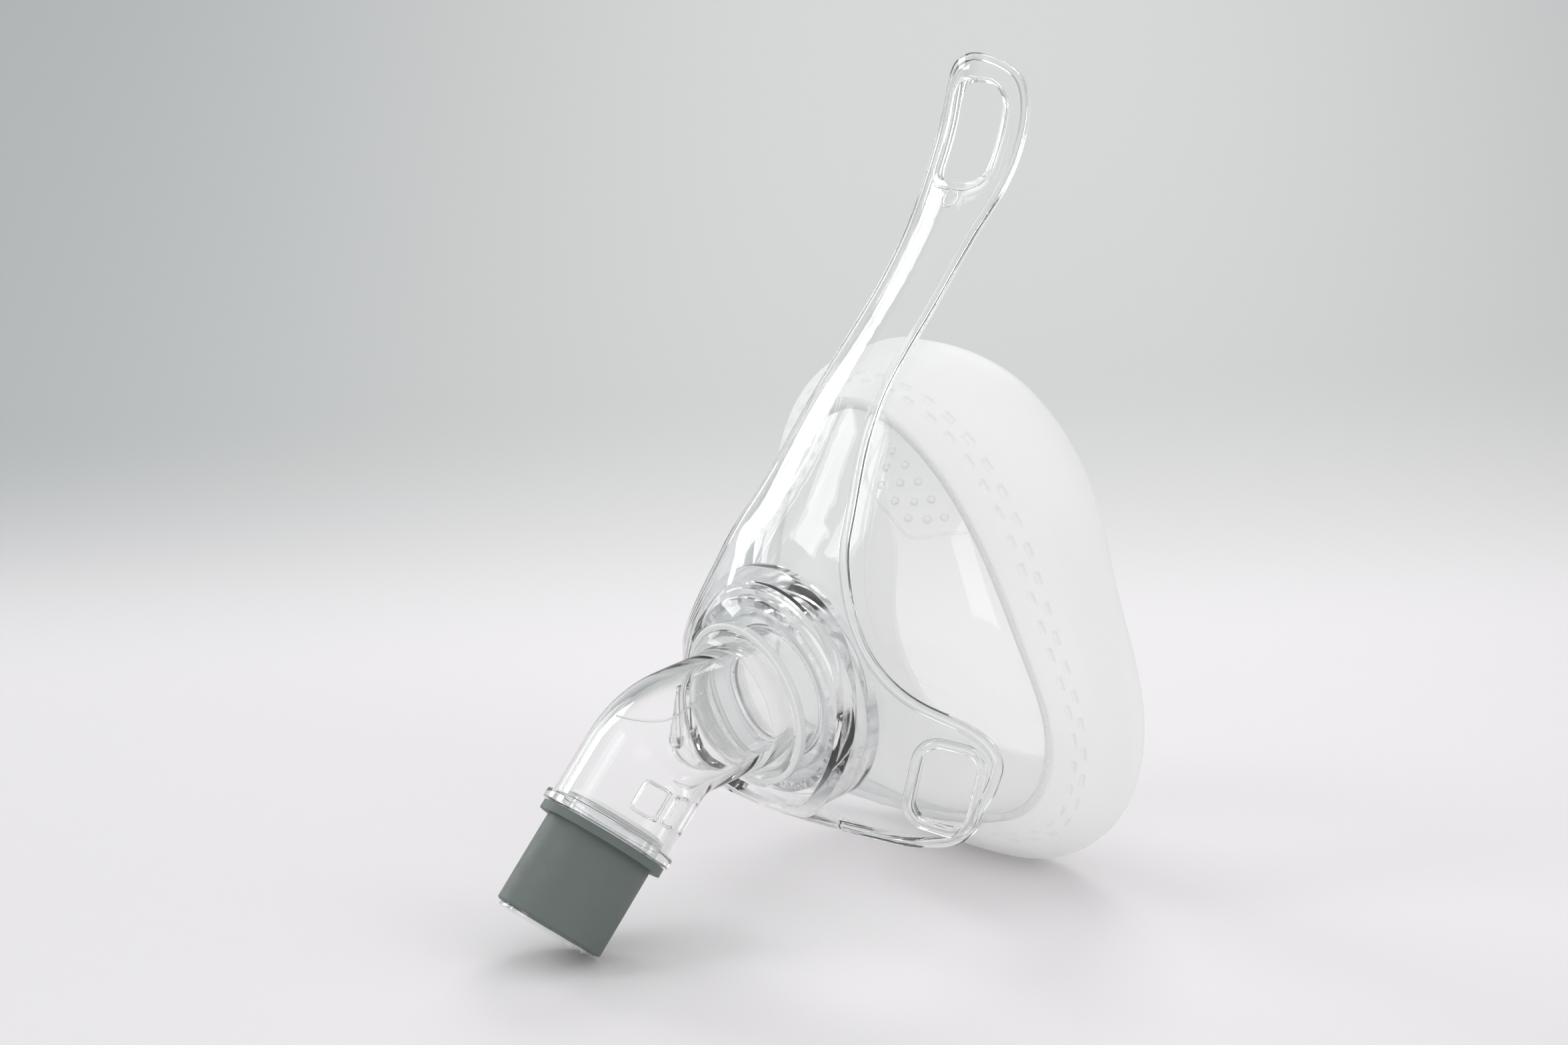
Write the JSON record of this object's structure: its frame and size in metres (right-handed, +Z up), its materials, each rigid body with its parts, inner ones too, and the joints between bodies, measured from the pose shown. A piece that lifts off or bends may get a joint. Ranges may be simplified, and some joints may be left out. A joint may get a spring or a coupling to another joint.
{
  "type": "full face breathing mask",
  "caption": "Full face mask for air therapy: clear frame with forehead arm and strap slots, soft face cushion on a clear shell, swivel elbow and hose connector.",
  "frame": {"origin": "middle of the object's box, on the surface that the mask stands on", "axes": "+X the wearer's left, -Y the front where the elbow is, +Z up towards the forehead"},
  "size_m": [0.0936, 0.1285, 0.1638],
  "materials": {
    "clear_polycarbonate": "clear, glossy",
    "silicone": "milky, satin",
    "grey_plastic": "fine matte"
  },
  "bodies": {
    "mask": {"frame": "clear_polycarbonate", "cushion_shell": "clear_polycarbonate", "cushion": "silicone", "hub_ring": "clear_polycarbonate", "seal_ring": "silicone"},
    "elbow_unit": {"elbow": "clear_polycarbonate", "connector_sleeve": "clear_polycarbonate", "flap_root": "silicone"},
    "hose_connector": {"connector": "grey_plastic"},
    "flap": {"valve_flap": "silicone"}
  },
  "joints": [
    {"name": "elbow_swivel", "type": "hinge", "parent": "mask", "child": "elbow_unit", "pos_m": [0, -0.0106, 0.04212], "axis": [0, -0.9848, -0.1736], "continuous": true},
    {"name": "connector_swivel", "type": "hinge", "parent": "elbow_unit", "child": "hose_connector", "pos_m": [-0.00282, -0.05566, 0.00689], "axis": [-0.0706, -0.6094, -0.7897], "continuous": true},
    {"name": "flap_hinge", "type": "hinge", "parent": "elbow_unit", "child": "flap", "pos_m": [-0.00169, -0.03535, 0.02145], "axis": [-0.9945, -0.0182, 0.1029], "range_deg": [0, 60], "stiffness_Nm_per_rad": 0.0002}
  ]
}
